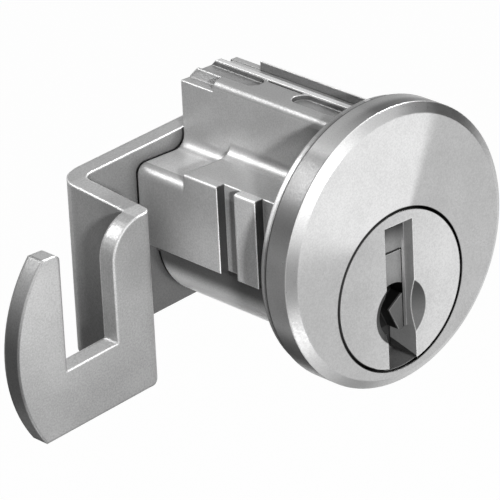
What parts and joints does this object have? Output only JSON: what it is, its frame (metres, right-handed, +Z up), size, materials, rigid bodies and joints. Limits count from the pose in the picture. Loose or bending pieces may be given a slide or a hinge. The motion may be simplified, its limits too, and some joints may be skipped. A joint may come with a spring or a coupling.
{
  "type": "mailbox lock",
  "caption": "Pin tumbler cam lock for a mailbox door: round capped flange, keyed plug that turns a quarter, grooved body with a pin tower, and a bent cam that ends in an open hook.",
  "frame": {"origin": "on the plug's axis, in the plane of the flange's back face, which seats on the door", "axes": "front looks along -Y, +Y runs through the door to the rear, +X to the right of a person who faces the lock, +Z up"},
  "size_m": [0.0436, 0.0292, 0.0254],
  "materials": {
    "zinc": "satin nickel plating over die-cast zinc",
    "cap_steel": "satin, brushed round the face",
    "cover_metal": "plain sheet",
    "plug_metal": "satin nickel plating over die-cast zinc",
    "brass": "turned",
    "spring_steel": "drawn wire",
    "washer_steel": "zinc plated",
    "cam_steel": "pressed strip, zinc plated, fine grain",
    "screw_steel": "zinc plated"
  },
  "bodies": {
    "case": {"housing": "zinc", "face_cap": "cap_steel", "pin_cover": "cover_metal"},
    "plug_body": {"plug": "plug_metal", "stop_washer": "washer_steel", "hook_cam": "cam_steel", "lock_washer": "spring_steel", "cam_screw": "screw_steel"},
    "pin_1": {"key_pin_1": "brass"},
    "driver_1": {"driver_pin_1": "brass", "pin_spring_1": "spring_steel"},
    "pin_2": {"key_pin_2": "brass"},
    "driver_2": {"driver_pin_2": "brass", "pin_spring_2": "spring_steel"},
    "pin_3": {"key_pin_3": "brass"},
    "driver_3": {"driver_pin_3": "brass", "pin_spring_3": "spring_steel"},
    "pin_4": {"key_pin_4": "brass"},
    "driver_4": {"driver_pin_4": "brass", "pin_spring_4": "spring_steel"},
    "pin_5": {"key_pin_5": "brass"},
    "driver_5": {"driver_pin_5": "brass", "pin_spring_5": "spring_steel"}
  },
  "joints": [
    {"name": "plug_turn", "type": "hinge", "parent": "case", "child": "plug_body", "pos_m": [0, 0, 0], "axis": [0, -1, 0], "range_deg": [0, 90]},
    {"name": "key_pin_1_slide", "type": "slide", "parent": "plug_body", "child": "pin_1", "axis": [0, 0, 1], "range_m": [-0.00185, 0]},
    {"name": "driver_pin_1_slide", "type": "slide", "parent": "case", "child": "driver_1", "axis": [0, 0, 1], "range_m": [-0.00185, 0], "deforming": ["pin_spring_1"]},
    {"name": "key_pin_2_slide", "type": "slide", "parent": "plug_body", "child": "pin_2", "axis": [0, 0, 1], "range_m": [-0.00105, 0]},
    {"name": "driver_pin_2_slide", "type": "slide", "parent": "case", "child": "driver_2", "axis": [0, 0, 1], "range_m": [-0.00105, 0], "deforming": ["pin_spring_2"]},
    {"name": "key_pin_3_slide", "type": "slide", "parent": "plug_body", "child": "pin_3", "axis": [0, 0, 1], "range_m": [-0.00235, 0]},
    {"name": "driver_pin_3_slide", "type": "slide", "parent": "case", "child": "driver_3", "axis": [0, 0, 1], "range_m": [-0.00235, 0], "deforming": ["pin_spring_3"]},
    {"name": "key_pin_4_slide", "type": "slide", "parent": "plug_body", "child": "pin_4", "axis": [0, 0, 1], "range_m": [-0.00065, 0]},
    {"name": "driver_pin_4_slide", "type": "slide", "parent": "case", "child": "driver_4", "axis": [0, 0, 1], "range_m": [-0.00065, 0], "deforming": ["pin_spring_4"]},
    {"name": "key_pin_5_slide", "type": "slide", "parent": "plug_body", "child": "pin_5", "axis": [0, 0, 1], "range_m": [-0.00145, 0]},
    {"name": "driver_pin_5_slide", "type": "slide", "parent": "case", "child": "driver_5", "axis": [0, 0, 1], "range_m": [-0.00145, 0], "deforming": ["pin_spring_5"]}
  ],
  "couplings": [
    {"joint": "driver_pin_1_slide", "follows": "key_pin_1_slide", "ratio": 1},
    {"joint": "driver_pin_2_slide", "follows": "key_pin_2_slide", "ratio": 1},
    {"joint": "driver_pin_3_slide", "follows": "key_pin_3_slide", "ratio": 1},
    {"joint": "driver_pin_4_slide", "follows": "key_pin_4_slide", "ratio": 1},
    {"joint": "driver_pin_5_slide", "follows": "key_pin_5_slide", "ratio": 1}
  ]
}
